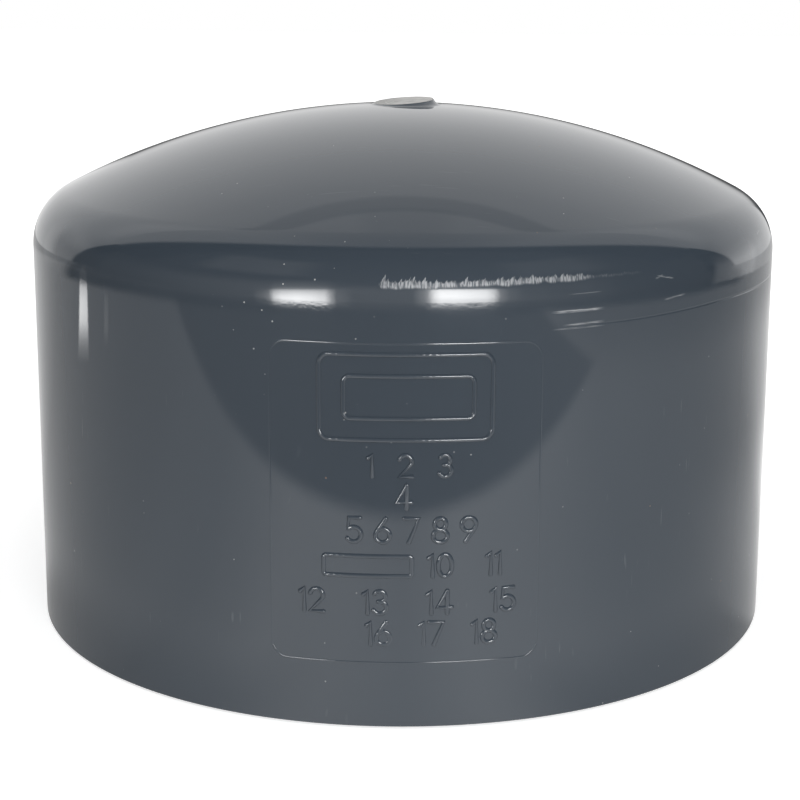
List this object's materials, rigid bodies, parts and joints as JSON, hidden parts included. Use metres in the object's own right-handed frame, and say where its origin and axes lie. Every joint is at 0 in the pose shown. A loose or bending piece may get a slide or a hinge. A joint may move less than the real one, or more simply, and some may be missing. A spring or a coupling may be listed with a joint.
{
  "type": "pipe cap",
  "caption": "Domed cap with a tapered glue socket, a flat pipe stop and a cut sprue stub on its crown, for the end of a nominal 6 inch pipe.",
  "frame": {"origin": "centre of the mouth's rim, in the plane of the rim", "axes": "+Z along the pipe's axis, from the mouth up to the crown; -Y towards the marked front"},
  "size_m": [0.1834, 0.1834, 0.1261],
  "materials": {
    "moulded_pvc": "dark blue-grey PVC as it leaves a polished mould, glossy with a slight orange peel, with a fine matt saw cut on the sprue stub"
  },
  "bodies": {
    "root": {"cap_body": "moulded_pvc"}
  },
  "joints": []
}
